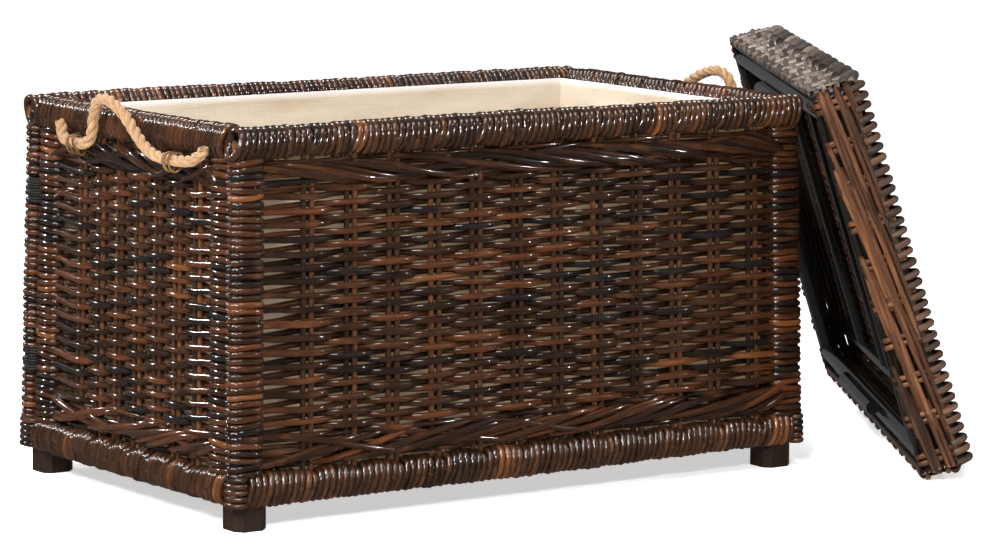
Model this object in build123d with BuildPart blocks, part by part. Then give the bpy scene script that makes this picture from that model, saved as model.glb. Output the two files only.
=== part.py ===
from build123d import *
import os
from math import cos, pi, radians, sin, sqrt, tan

os.makedirs("parts", exist_ok=True)

# A woven rattan storage trunk with a lift-off lid that leans on its front right corner.
# Millimetres, +Z up, floor at z = 0, front of the trunk towards -Y.

# Trunk body
body_length = 850
body_width = 515
body_height = 450
foot_height = 30
# The origin is the middle of the footprint of the trunk and its leaning lid together.
trunk_x = -268
trunk_y = 39

# Rolled rims along the top and bottom of each woven panel
rim_height = 40
rim_depth = 34
rim_rounding = 14
rim_end_rounding = 6

# Woven panels and the wrapped posts at their ends
panel_thickness = 14
post_width = 46
post_thickness = 24
post_rounding = 10
panel_seam = 0.5

# Base
base_thickness = 12
runner_width = 30
runner_thickness = 14
runner_spacing = 240

# Liner
liner_thickness = 2
liner_gap = 1
liner_top_setback = 12

# Feet
foot_size = 44
foot_inset = 26
foot_corner_cut = 9
foot_edge_round = 2

# Cord lashings at the rear corners
lashing_cord = 3.6
lashing_pitch = 3.5
lashing_turns = 9
lashing_span = 24
lashing_heights = (148, 362)

# Rope handles
rope_diameter = 14
rope_standoff = 15
rope_height = 434
rope_joint_gap = 0.3
# Part of a bend's shorter run that its rounding may use
rope_bend_share = 0.45
reed_diameter = 2.4
reed_clearance = 0.4
reed_turn_spacing = 13

# Lid
lid_length = 862
lid_width = 519
lid_depth = 66
lid_side_thickness = 14
lid_border = 15
lid_border_round = 5
lid_weave_thickness = 10
lid_weave_setback = 2
lid_pole = 25
lid_pole_inset = 34
lid_inner_pole = 18
lid_inner_pole_inset = 64
lid_pole_setback = 1
lid_cross_spacing = 215
lid_cross_count = 3
cleat_diameter = 18
cleat_length = 250
cleat_inset = 47
cleat_end_chamfer = 1
contact_gap = 0.1

# The lid leans: its long side stands on the floor, turned away from the trunk's end panel
lid_turn = 31.3
lid_lean = 17.2
lid_corner_x = 487
lid_corner_y = -432

half_length = body_length / 2
half_width = body_width / 2
rim_bottom = foot_height
rim_top = foot_height + body_height
weave_bottom = rim_bottom + rim_height
weave_top = rim_top - rim_height
weave_height = weave_top - weave_bottom
inner_half_length = half_length - rim_depth
inner_half_width = half_width - rim_depth
panel_mid_x = half_length - rim_depth / 2
panel_mid_y = half_width - rim_depth / 2

trunk = Plane(origin=(trunk_x, trunk_y, 0))


def finish(part, name):
    part.label = name
    export_step(part, f"parts/{name}.step")


# Long rims: full-length rolls along the front and back
for side, sign in (("front", -1), ("back", 1)):
    for level, height in (("top", rim_top - rim_height / 2), ("bottom", rim_bottom + rim_height / 2)):
        with BuildPart(trunk) as long_rim:
            with Locations((0, sign * panel_mid_y, height)):
                Box(body_length, rim_depth, rim_height)
            fillet(long_rim.edges().filter_by(Axis.X), rim_rounding)
            ends = long_rim.faces().filter_by(Axis.X)
            fillet(ends.edges(), rim_end_rounding)
        finish(long_rim.part, f"{side}_{level}_rim")

# Short rims: rolls between the long ones
for side, sign in (("left", -1), ("right", 1)):
    for level, height in (("top", rim_top - rim_height / 2), ("bottom", rim_bottom + rim_height / 2)):
        with BuildPart(trunk) as short_rim:
            with Locations((sign * panel_mid_x, 0, height)):
                Box(rim_depth, 2 * inner_half_width, rim_height)
            fillet(short_rim.edges().filter_by(Axis.Y), rim_rounding)
        finish(short_rim.part, f"{side}_{level}_rim")

# Front and back panels with a wrapped post at each end
long_weave_length = body_length - 2 * post_width
long_post_x = half_length - post_width / 2
for side, sign in (("front", -1), ("back", 1)):
    with BuildPart(trunk) as long_weave:
        with Locations((0, sign * panel_mid_y, weave_bottom + weave_height / 2)):
            Box(long_weave_length, panel_thickness, weave_height)
    finish(long_weave.part, f"{side}_weave")
    for end, end_sign in (("left", -1), ("right", 1)):
        with BuildPart(trunk) as long_post:
            with BuildSketch(trunk.offset(weave_bottom)):
                with Locations((end_sign * long_post_x, sign * panel_mid_y)):
                    RectangleRounded(post_width, post_thickness, post_rounding)
            extrude(amount=weave_height)
        finish(long_post.part, f"{side}_{end}_post")

# Left and right panels, standing between the front and back ones
short_panel_half = panel_mid_y - post_thickness / 2 - panel_seam
short_post_y = short_panel_half - post_width / 2
for side, sign in (("left", -1), ("right", 1)):
    with BuildPart(trunk) as short_weave:
        with Locations((sign * panel_mid_x, 0, weave_bottom + weave_height / 2)):
            Box(panel_thickness, 2 * (short_panel_half - post_width), weave_height)
    finish(short_weave.part, f"{side}_weave")
    for end, end_sign in (("front", -1), ("rear", 1)):
        with BuildPart(trunk) as short_post:
            with BuildSketch(trunk.offset(weave_bottom)):
                with Locations((sign * panel_mid_x, end_sign * short_post_y)):
                    RectangleRounded(post_thickness, post_width, post_rounding)
            extrude(amount=weave_height)
        finish(short_post.part, f"{side}_{end}_post")

# Woven base on two wooden runners, held between the bottom rims
base_bottom = rim_bottom + runner_thickness
base_half_length = inner_half_length - panel_seam
base_half_width = inner_half_width - panel_seam
with BuildPart(trunk) as woven_base:
    with Locations((0, 0, base_bottom + base_thickness / 2)):
        Box(2 * base_half_length, 2 * base_half_width, base_thickness)
finish(woven_base.part, "woven_base")

for side, sign in (("front", -1), ("back", 1)):
    with BuildPart(trunk) as base_runner:
        with Locations((0, sign * runner_spacing / 2, rim_bottom + runner_thickness / 2)):
            Box(2 * base_half_length, runner_width, runner_thickness)
    finish(base_runner.part, f"{side}_base_runner")

# Cotton liner: an open-topped box that hangs inside the rims
liner_bottom = base_bottom + base_thickness + liner_gap
liner_top = rim_top - liner_top_setback
liner_half_length = inner_half_length - liner_gap
liner_half_width = inner_half_width - liner_gap
with BuildPart(trunk) as liner:
    with BuildSketch(trunk.offset(liner_bottom)):
        Rectangle(2 * liner_half_length, 2 * liner_half_width)
    extrude(amount=liner_top - liner_bottom)
    with BuildSketch(trunk.offset(liner_bottom + liner_thickness)):
        Rectangle(2 * (liner_half_length - liner_thickness), 2 * (liner_half_width - liner_thickness))
    extrude(amount=liner_top - liner_bottom, mode=Mode.SUBTRACT)
finish(liner.part, "liner")

# Wooden feet under the corners
for depth, depth_sign in (("front", -1), ("back", 1)):
    for end, end_sign in (("left", -1), ("right", 1)):
        foot_x = end_sign * (half_length - foot_inset)
        foot_y = depth_sign * (half_width - foot_inset)
        with BuildPart(trunk) as foot:
            with BuildSketch(trunk):
                with Locations((foot_x, foot_y)):
                    Rectangle(foot_size, foot_size)
            extrude(amount=foot_height)
            chamfer(foot.edges().filter_by(Axis.Z), foot_corner_cut)
            fillet(foot.edges().group_by(Axis.Z)[0], foot_edge_round)
        finish(foot.part, f"{depth}_{end}_foot")

# Black cord lashings that tie the back panel to the end panels, two on each rear corner
lashing_x = half_length + lashing_cord / 2 + rope_joint_gap
lashing_y = short_panel_half
for end, sign in (("left", -1), ("right", 1)):
    with BuildPart(trunk) as corner_lashings:
        for height in lashing_heights:
            for turn in range(lashing_turns):
                turn_z = height + (turn - (lashing_turns - 1) / 2) * lashing_pitch
                with Locations((sign * lashing_x, lashing_y, turn_z)):
                    Cylinder(lashing_cord / 2, lashing_span, rotation=(90, 0, 0))
    finish(corner_lashings.part, f"rear_{end}_corner_lashings")

# Rope handles. Each route is a list of (Y, Z) points in the plane of the end panel's outside.
rope_radius = rope_diameter / 2
rope_x = half_length + rope_standoff
rope_tuck = 6


def bend_radii(points):
    radii = []
    for before, corner, after in zip(points, points[1:], points[2:]):
        run_in = Vector(*corner) - Vector(*before)
        run_out = Vector(*after) - Vector(*corner)
        bend = radians(run_in.get_angle(run_out))
        radii.append(rope_bend_share * min(run_in.length, run_out.length) / tan(bend / 2))
    return radii


def rope(points, name):
    radii = bend_radii(points)
    with BuildPart() as cord:
        with BuildLine() as route:
            FilletPolyline(*points, radius=radii)
        path = route.wire()
        with BuildSketch(Plane(origin=path @ 0, z_dir=path % 0)):
            Circle(rope_radius)
        sweep(path=path)
    ratio = cord.part.volume / (pi * rope_radius**2 * path.length)
    print(name, "length", round(path.length, 1), "volume ratio", round(ratio, 4))
    print("   bend radii", [round(radius, 1) for radius in radii])
    finish(cord.part, name)


def on_trunk(x, y, z):
    return (trunk_x + x, trunk_y + y, z)


# The loop stands up between two lashings; each rope end runs on along the rim and turns up.
left_loop = [(84, 434), (56, 434), (50, 486), (24, 497), (-20, 482), (-58, 451), (-92, 434), (-120, 434)]
left_rear = [(84, 0, 434), (112, 0, 434), (134, 3, 437), (144, rope_tuck, 456)]
left_front = [(-120, 0, 434), (-150, 0, 434), (-182, 3, 436), (-200, rope_tuck, 452)]
right_loop = [(-120, 434), (-96, 434), (-90, 484), (-62, 499), (-22, 490), (22, 466), (56, 434), (84, 434)]
right_rear = [(84, 0, 434), (114, 0, 434), (146, 3, 436), (164, rope_tuck, 452)]
right_front = [(-120, 0, 434), (-148, 0, 434), (-170, 3, 437), (-180, rope_tuck, 456)]

handles = (
    ("left", -1, left_loop, left_rear, left_front),
    ("right", 1, right_loop, right_rear, right_front),
)
for side, sign, loop, rear, front in handles:
    rope([on_trunk(sign * rope_x, y, z) for y, z in loop], f"{side}_handle_loop")
    for end, run, end_sign in (("rear", rear, 1), ("front", front, -1)):
        points = [on_trunk(sign * (rope_x - tuck), y, z) for y, tuck, z in run]
        first = on_trunk(sign * rope_x, run[0][0] + end_sign * rope_joint_gap, rope_height)
        rope([first] + points[1:], f"{side}_handle_{end}_end")
    # Split reed bound round the rope where it leaves the panel
    reed_ring = rope_radius + reed_clearance + reed_diameter / 2
    with BuildPart(trunk) as rope_lashings:
        for start_y, end_sign in ((rear[0][0], 1), (front[0][0], -1)):
            for reed_turn in (1, 2):
                ring_y = start_y + end_sign * (reed_turn - 0.5) * reed_turn_spacing
                with Locations((sign * rope_x, ring_y, rope_height)):
                    Torus(reed_ring, reed_diameter / 2, rotation=(90, 0, 0))
    finish(rope_lashings.part, f"{side}_handle_lashings")

# Lid. Its own plane: x along the long side from the near end, y up the slope, z out of its top.
turn = radians(lid_turn)
lean = radians(lid_lean)
lid = Plane(
    origin=(trunk_x + lid_corner_x, trunk_y + lid_corner_y, 0),
    x_dir=(sin(turn), cos(turn), 0),
    z_dir=(cos(turn) * cos(lean), -sin(turn) * cos(lean), sin(lean)),
)
lid_mid_x = lid_length / 2
lid_mid_y = lid_width / 2
side_height = lid_depth - lid_border
lid_side_mid_x = lid_mid_x - lid_side_thickness / 2
lid_side_mid_y = lid_mid_y - lid_side_thickness / 2
lid_border_mid_x = lid_mid_x - lid_border / 2
lid_border_mid_y = lid_mid_y - lid_border / 2
lid_border_mid_z = lid_depth - lid_border / 2

# Woven sides and the border of bent-over stakes along their top edges
for side, sign in (("lower", -1), ("upper", 1)):
    with BuildPart(lid) as long_side:
        with Locations((lid_mid_x, lid_mid_y + sign * lid_side_mid_y, side_height / 2)):
            Box(lid_length, lid_side_thickness, side_height)
    finish(long_side.part, f"lid_{side}_side")
    with BuildPart(lid) as long_border:
        with Locations((lid_mid_x, lid_mid_y + sign * lid_border_mid_y, lid_border_mid_z)):
            Box(lid_length, lid_border, lid_border)
        outer_edges = long_border.edges().filter_by(lambda edge: abs(edge.length - lid_length) < 1)
        fillet(outer_edges, lid_border_round)
    finish(long_border.part, f"lid_{side}_border")
for side, sign in (("near", -1), ("far", 1)):
    with BuildPart(lid) as short_side:
        with Locations((lid_mid_x + sign * lid_side_mid_x, lid_mid_y, side_height / 2)):
            Box(lid_side_thickness, lid_width - 2 * lid_side_thickness, side_height)
    finish(short_side.part, f"lid_{side}_side")
    with BuildPart(lid) as short_border:
        with Locations((lid_mid_x + sign * lid_border_mid_x, lid_mid_y, lid_border_mid_z)):
            Box(lid_border, lid_width - 2 * lid_border, lid_border)
        outer_edges = short_border.edges().filter_by(lambda edge: edge.length > lid_width / 2)
        fillet(outer_edges, lid_border_round)
    finish(short_border.part, f"lid_{side}_border")

# Woven top inside the border
with BuildPart(lid) as lid_weave:
    with Locations((lid_mid_x, lid_mid_y, lid_depth - lid_weave_setback - lid_weave_thickness / 2)):
        Box(lid_length - 2 * lid_border, lid_width - 2 * lid_border, lid_weave_thickness)
finish(lid_weave.part, "lid_top_weave")

# Frame of lacquered poles: an outer ring level with the lid's rim and an inner set under the weave
outer_pole_z = lid_pole_setback + lid_pole / 2
inner_pole_z = lid_depth - lid_weave_setback - lid_weave_thickness - contact_gap - lid_inner_pole / 2
long_pole_length = lid_length - 2 * lid_side_thickness
inner_pole_length = lid_length - 2 * lid_border - 2 * lid_pole_setback
short_pole_length = lid_width - 2 * lid_pole_inset - lid_pole
for side, sign in (("lower", -1), ("upper", 1)):
    with BuildPart(lid) as long_pole:
        with Locations((lid_mid_x, lid_mid_y + sign * (lid_mid_y - lid_pole_inset), outer_pole_z)):
            Cylinder(lid_pole / 2, long_pole_length, rotation=(0, 90, 0))
    finish(long_pole.part, f"lid_{side}_pole")
    with BuildPart(lid) as inner_long_pole:
        with Locations((lid_mid_x, lid_mid_y + sign * (lid_mid_y - lid_inner_pole_inset), inner_pole_z)):
            Cylinder(lid_inner_pole / 2, inner_pole_length, rotation=(0, 90, 0))
    finish(inner_long_pole.part, f"lid_{side}_inner_pole")
    # Short pole lashed under the outer one: it drops inside the trunk's rim and keeps the lid in place
    cleat_offset = cleat_inset - lid_pole_inset
    axis_distance = (lid_pole + cleat_diameter) / 2 + contact_gap
    cleat_z = outer_pole_z - sqrt(axis_distance**2 - cleat_offset**2)
    with BuildPart(lid) as cleat:
        with Locations((lid_mid_x, lid_mid_y + sign * (lid_mid_y - cleat_inset), cleat_z)):
            Cylinder(cleat_diameter / 2, cleat_length, rotation=(0, 90, 0))
        chamfer(cleat.edges(), cleat_end_chamfer)
    finish(cleat.part, f"lid_{side}_cleat")
for side, sign in (("near", -1), ("far", 1)):
    with BuildPart(lid) as short_pole:
        with Locations((lid_mid_x + sign * (lid_mid_x - lid_pole_inset), lid_mid_y, outer_pole_z)):
            Cylinder(lid_pole / 2, short_pole_length, rotation=(90, 0, 0))
    finish(short_pole.part, f"lid_{side}_pole")
cross_pole_length = lid_width - 2 * lid_inner_pole_inset - lid_inner_pole
for count in range(lid_cross_count):
    cross_x = lid_mid_x + (count - (lid_cross_count - 1) / 2) * lid_cross_spacing
    with BuildPart(lid) as cross_pole:
        with Locations((cross_x, lid_mid_y, inner_pole_z)):
            Cylinder(lid_inner_pole / 2, cross_pole_length, rotation=(90, 0, 0))
    finish(cross_pole.part, f"lid_cross_pole_{count + 1}")
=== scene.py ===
import math
import random

import bmesh
import bpy
import numpy as np
from mathutils import Matrix, Vector


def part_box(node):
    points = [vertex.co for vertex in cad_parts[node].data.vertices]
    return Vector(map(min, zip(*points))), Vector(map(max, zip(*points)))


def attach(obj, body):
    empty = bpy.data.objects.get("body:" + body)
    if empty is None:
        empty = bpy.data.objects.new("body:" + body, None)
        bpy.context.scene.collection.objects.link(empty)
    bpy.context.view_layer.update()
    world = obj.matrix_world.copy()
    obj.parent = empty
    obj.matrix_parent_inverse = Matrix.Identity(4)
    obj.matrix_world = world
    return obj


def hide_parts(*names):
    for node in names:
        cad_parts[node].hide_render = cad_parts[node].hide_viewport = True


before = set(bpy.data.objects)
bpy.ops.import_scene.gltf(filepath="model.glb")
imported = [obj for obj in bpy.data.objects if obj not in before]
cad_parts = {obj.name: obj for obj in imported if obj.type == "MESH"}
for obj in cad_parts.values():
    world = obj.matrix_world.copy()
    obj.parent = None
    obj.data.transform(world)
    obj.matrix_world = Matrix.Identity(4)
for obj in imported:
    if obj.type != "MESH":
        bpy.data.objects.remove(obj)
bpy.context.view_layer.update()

rng = random.Random(11)

# ---------------------------------------------------------------- trunk sizes, from the CAD nodes
front_low, front_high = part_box("front_top_rim")
back_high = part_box("back_top_rim")[1]
HALF_L = (front_high[0] - front_low[0]) / 2
HALF_W = (back_high[1] - front_low[1]) / 2
TX = (front_high[0] + front_low[0]) / 2
TY = (back_high[1] + front_low[1]) / 2
TOP = front_high[2]
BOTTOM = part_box("front_bottom_rim")[0][2]
RIM_D = front_high[1] - front_low[1]
RIM_H = front_high[2] - front_low[2]
MID_X = HALF_L - RIM_D / 2
MID_Y = HALF_W - RIM_D / 2
POST_W = 0.046
LONG_POST_HALF_DEPTH = 0.012
END_GAP = 0.0005
SHORT_HALF = MID_Y - LONG_POST_HALF_DEPTH - END_GAP
FLARE = 0.0085  # how much further out the walls stand at the bottom than at the top

# ---------------------------------------------------------------- camera
AZ, DIP, ROLL = math.radians(35.173), math.radians(7.75), math.radians(0.467)
LENS = 156.3
EYE_X, EYE_Y, EYE_Z = TX - 3.048, TY - 4.503, 0.9874

cam_data = bpy.data.cameras.new("camera")
cam = bpy.data.objects.new("camera", cam_data)
bpy.context.scene.collection.objects.link(cam)
cam_data.sensor_width = 36.0
cam_data.lens = LENS
cam_data.clip_end = 200
look = Vector((math.sin(AZ) * math.cos(DIP), math.cos(AZ) * math.cos(DIP), -math.sin(DIP)))
level_right = Vector((math.cos(AZ), -math.sin(AZ), 0))
level_up = level_right.cross(look)
cam_right = level_right * math.cos(ROLL) + level_up * math.sin(ROLL)
cam_up = -level_right * math.sin(ROLL) + level_up * math.cos(ROLL)
cam.matrix_world = Matrix((
    (cam_right.x, cam_up.x, -look.x, EYE_X),
    (cam_right.y, cam_up.y, -look.y, EYE_Y),
    (cam_right.z, cam_up.z, -look.z, EYE_Z),
    (0, 0, 0, 1)))
bpy.context.scene.camera = cam

# ---------------------------------------------------------------- rods: many tubes in one mesh


def parallel_frames(t):
    """A normal at each point of a line, carried along it without twisting."""
    n = len(t)
    nrm = np.empty((n, 3))
    a = np.array([0, 0, 1.0]) if abs(t[0][2]) < 0.9 else np.array([1.0, 0, 0])
    nrm[0] = a - a.dot(t[0]) * t[0]
    nrm[0] /= np.linalg.norm(nrm[0])
    for i in range(1, n):
        v = nrm[i - 1] - nrm[i - 1].dot(t[i]) * t[i]
        nrm[i] = v / (np.linalg.norm(v) + 1e-12)
    return nrm


def turn_round(sides):
    return np.linspace(0, 2 * math.pi, sides, endpoint=False)


def unit(v):
    return v / (np.linalg.norm(v, axis=1)[:, None] + 1e-12)


class Rods:
    """Tubes along polylines. Each vertex carries a tint and a grain coordinate that runs along its rod."""

    CAP_BULGE = 0.35

    def __init__(self):
        self.v, self.f, self.tint, self.grain = [], [], [], []
        self.count = 0

    def add(self, pts, radius, tint, ref=None, sides=8, caps=True, closed=False):
        p = np.asarray(pts, float)
        n = len(p)
        t = unit(np.roll(p, -1, 0) - np.roll(p, 1, 0) if closed else np.gradient(p, axis=0))
        if ref is None:
            nrm = parallel_frames(t)
        else:
            ref = np.broadcast_to(np.asarray(ref, float), (n, 3))
            nrm = unit(ref - (ref * t).sum(1)[:, None] * t)
        bi = np.cross(t, nrm)
        r = np.broadcast_to(np.asarray(radius, float), (n,))
        a = turn_round(sides)
        ring = np.cos(a)[None, :, None] * nrm[:, None, :] + np.sin(a)[None, :, None] * bi[:, None, :]
        base = self.count
        i = np.arange(n if closed else n - 1)[:, None]
        j = np.arange(sides)[None, :]
        i2 = (i + 1) % n
        j2 = (j + 1) % sides
        quads = np.stack([i * sides + j, i2 * sides + j, i2 * sides + j2, i * sides + j2], -1)
        self.f.append(quads.reshape(-1, 4) + base)
        run = np.concatenate([[0], np.cumsum(np.linalg.norm(np.diff(p, axis=0), axis=1))])
        tints = np.broadcast_to(np.asarray(tint, float), (n,))
        seed = rng.random() * 50
        g = np.empty((n, sides, 3))
        g[:, :, 0] = run[:, None] + seed
        g[:, :, 1] = (np.cos(a) * 0.5)[None, :] * r[:, None] + seed
        g[:, :, 2] = (np.sin(a) * 0.5)[None, :] * r[:, None]
        self.v.append((p[:, None, :] + ring * r[:, None, None]).reshape(-1, 3))
        self.tint.append(np.repeat(tints, sides))
        self.grain.append(g.reshape(-1, 3))
        self.count += n * sides
        if caps and not closed:
            for end, tip in ((0, -1), (n - 1, 1)):
                centre = p[end] + t[end] * tip * r[end] * self.CAP_BULGE
                rim = base + end * sides + np.arange(sides)
                self.cap(rim, tip, centre, tints[end], [run[end] + seed, seed, 0])

    def cap(self, ring, tip, centre, tint, grain):
        """A fan from one end ring to a point a little beyond it."""
        self.v.append(centre[None, :])
        self.tint.append(np.array([tint]))
        self.grain.append(np.array([grain]))
        hub = np.full(len(ring), self.count)
        self.count += 1
        after = np.roll(ring, -1)
        self.f.append(np.stack([ring, after, hub, hub] if tip > 0 else [after, ring, hub, hub], -1))

    def build(self, name, material, slot, body="trunk", nodes=(), placed=True):
        """One object from all the rods. placed=True moves it from the trunk's own middle to its place."""
        v = np.concatenate(self.v)
        if placed:
            v = v + np.array([TX, TY, 0])
        f = np.concatenate(self.f)
        triangle = f[:, 2] == f[:, 3]
        sizes = np.where(triangle, 3, 4)
        keep = np.ones((len(f), 4), bool)
        keep[triangle, 3] = False
        corners = f[keep]
        starts = np.concatenate([[0], np.cumsum(sizes)[:-1]])
        me = bpy.data.meshes.new(name)
        me.vertices.add(len(v))
        me.vertices.foreach_set("co", v.astype(np.float32).ravel())
        me.loops.add(len(corners))
        me.loops.foreach_set("vertex_index", corners.astype(np.int32))
        me.polygons.add(len(f))
        me.polygons.foreach_set("loop_start", starts.astype(np.int32))
        me.polygons.foreach_set("loop_total", sizes.astype(np.int32))
        me.polygons.foreach_set("use_smooth", np.ones(len(f), bool))
        tints = me.attributes.new("tint", "FLOAT", "POINT")
        tints.data.foreach_set("value", np.concatenate(self.tint).astype(np.float32))
        grains = me.attributes.new("grain", "FLOAT_VECTOR", "POINT")
        grains.data.foreach_set("vector", np.concatenate(self.grain).astype(np.float32).ravel())
        me.update(calc_edges=True)
        me.validate()
        me.materials.append(material)
        o = bpy.data.objects.new(name, me)
        bpy.context.scene.collection.objects.link(o)
        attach(o, body)
        if nodes:
            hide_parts(*nodes)
        return o


def smooth(x):
    x = np.clip(x, 0, 1)
    return x * x * (3 - 2 * x)


class Noise:
    """Smooth seeded wobble along a length."""

    COUNT = 400

    def __init__(self, step, amp):
        self.step, self.amp = step, amp
        self.vals = [rng.uniform(-1, 1) for _ in range(self.COUNT)]

    def __call__(self, x):
        x = np.asarray(x, float) / self.step + self.COUNT / 4
        i = np.floor(x).astype(int)
        f = smooth(x - i)
        v = np.array(self.vals)
        return self.amp * (v[i % self.COUNT] * (1 - f) + v[(i + 1) % self.COUNT] * f)


def squared_circle(sides, power):
    """Cosine and sine of a rounded rectangle instead of a circle."""
    a = turn_round(sides)
    x = np.sign(np.cos(a)) * np.abs(np.cos(a)) ** (2 / power)
    y = np.sign(np.sin(a)) * np.abs(np.sin(a)) ** (2 / power)
    return a, x, y


# ---------------------------------------------------------------- materials


def new_material(name):
    m = bpy.data.materials.new(name)
    m.use_nodes = True
    nt = m.node_tree
    return m, nt, nt.nodes["Principled BSDF"]


def ramp(nt, fac, stops):
    n = nt.nodes.new("ShaderNodeValToRGB")
    e = n.color_ramp.elements
    while len(e) > 1:
        e.remove(e[-1])
    e[0].position, e[0].color = stops[0][0], (*stops[0][1], 1)
    for pos, col in stops[1:]:
        x = e.new(pos)
        x.color = (*col, 1)
    nt.links.new(fac, n.inputs["Fac"])
    return n.outputs["Color"]


def attr(nt, name):
    n = nt.nodes.new("ShaderNodeAttribute")
    n.attribute_name = name
    return n


def noise(nt, vec, scale, detail=3, rough=0.6, size=1.0):
    """Noise on a vector that is first stretched by scale."""
    m = nt.nodes.new("ShaderNodeMapping")
    m.inputs["Scale"].default_value = scale
    nt.links.new(vec, m.inputs["Vector"])
    n = nt.nodes.new("ShaderNodeTexNoise")
    n.inputs["Scale"].default_value = size
    n.inputs["Detail"].default_value = detail
    n.inputs["Roughness"].default_value = rough
    nt.links.new(m.outputs[0], n.inputs["Vector"])
    return n.outputs["Fac"]


def mix(nt, a, b, fac, mode="MIX"):
    n = nt.nodes.new("ShaderNodeMix")
    n.data_type = "RGBA"
    n.blend_type = mode
    for sock, val in ((6, a), (7, b), (0, fac)):
        if isinstance(val, (int, float)):
            n.inputs[sock].default_value = val
        elif isinstance(val, tuple):
            n.inputs[sock].default_value = (*val, 1)
        else:
            nt.links.new(val, n.inputs[sock])
    return n.outputs[2]


def bump(nt, height, strength, dist, bsdf):
    n = nt.nodes.new("ShaderNodeBump")
    n.inputs["Strength"].default_value = strength
    n.inputs["Distance"].default_value = dist
    nt.links.new(height, n.inputs["Height"])
    nt.links.new(n.outputs["Normal"], bsdf.inputs["Normal"])


def rough_range(nt, fac, low, high, bsdf):
    n = nt.nodes.new("ShaderNodeMapRange")
    n.inputs["To Min"].default_value = low
    n.inputs["To Max"].default_value = high
    nt.links.new(fac, n.inputs["Value"])
    nt.links.new(n.outputs[0], bsdf.inputs["Roughness"])


def grey(x):
    return (x, x, x)


WORN = (0.17, 0.062, 0.019)
STREAK_SCALE, BLOTCH_SCALE = (22, 520, 520), (16, 60, 60)


def rattan(name, stops, rough, coat, wear=0.25):
    """Lacquered rod: a colour for each rod from its tint, fine streaks along it, worn orange blotches."""
    m, nt, bsdf = new_material(name)
    colour = ramp(nt, attr(nt, "tint").outputs["Fac"], stops)
    grain = attr(nt, "grain").outputs["Vector"]
    streak = noise(nt, grain, STREAK_SCALE, 4, 0.65)
    blotch = noise(nt, grain, BLOTCH_SCALE, 2, 0.5)
    streaks = ramp(nt, streak, [(0.32, grey(0.45)), (0.68, (1.45, 1.4, 1.35))])
    colour = mix(nt, colour, streaks, 1.0, "MULTIPLY")
    fac = nt.nodes.new("ShaderNodeMath")
    fac.operation = "MULTIPLY"
    nt.links.new(ramp(nt, blotch, [(0.58, grey(0)), (0.74, grey(1))]), fac.inputs[0])
    fac.inputs[1].default_value = wear
    nt.links.new(mix(nt, colour, WORN, fac.outputs[0]), bsdf.inputs["Base Color"])
    rough_range(nt, blotch, *rough, bsdf)
    bsdf.inputs["Coat Weight"].default_value = coat
    bsdf.inputs["Coat Roughness"].default_value = 0.085
    bsdf.inputs["Specular IOR Level"].default_value = 0.1
    bump(nt, streak, 0.3, 0.0005, bsdf)
    return m


GREY = (0.0085, 0.0078, 0.0075)
DARK = (0.009, 0.0052, 0.0036)
UMBER = (0.018, 0.0078, 0.0042)
BROWN = (0.038, 0.0142, 0.0062)
RED_BROWN = (0.064, 0.0208, 0.0075)
ORANGE = (0.118, 0.042, 0.0125)
mat_weave = rattan("rattan_weavers", [
    (0.0, GREY), (0.14, DARK), (0.34, UMBER), (0.56, BROWN), (0.82, RED_BROWN), (1.0, ORANGE)],
    (0.16, 0.32), 0.85)
mat_stake = rattan("rattan_stakes", [
    (0.0, (0.02, 0.0115, 0.0082)), (0.4, (0.052, 0.0235, 0.0125)), (1.0, (0.105, 0.041, 0.0165))],
    (0.38, 0.6), 0.05)
mat_rim = rattan("rattan_rim_rods", [
    (0.0, (0.009, 0.0066, 0.0056)), (0.3, (0.018, 0.0092, 0.0056)), (0.6, (0.036, 0.0152, 0.0076)),
    (0.85, (0.057, 0.0222, 0.0092)), (1.0, (0.125, 0.047, 0.015))],
    (0.17, 0.34), 0.75)
mat_lid = rattan("rattan_lid", [
    (0.0, (0.03, 0.0172, 0.0115)), (0.4, (0.064, 0.0285, 0.016)), (0.8, (0.105, 0.044, 0.0212)),
    (1.0, (0.165, 0.072, 0.03))],
    (0.3, 0.46), 0.25, 0.12)
mat_lid_edge = rattan("rattan_lid_border", [
    (0.0, (0.038, 0.026, 0.02)), (0.5, (0.068, 0.041, 0.029)), (1.0, (0.102, 0.058, 0.037))],
    (0.42, 0.62), 0.02, 0.1)
# a paler, greyer copy of the lid colours for the upward-facing upper side: painted sheen from the light falling
# on top
mat_lid_upper_painted_sheen = rattan("rattan_lid_upper_painted_sheen", [
    (0.0, (0.03, 0.022, 0.018)), (0.5, (0.105, 0.084, 0.071)), (1.0, (0.24, 0.2, 0.172))],
    (0.36, 0.5), 0.5, 0.06)


def object_coords(nt):
    return nt.nodes.new("ShaderNodeTexCoord").outputs["Object"]


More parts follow.
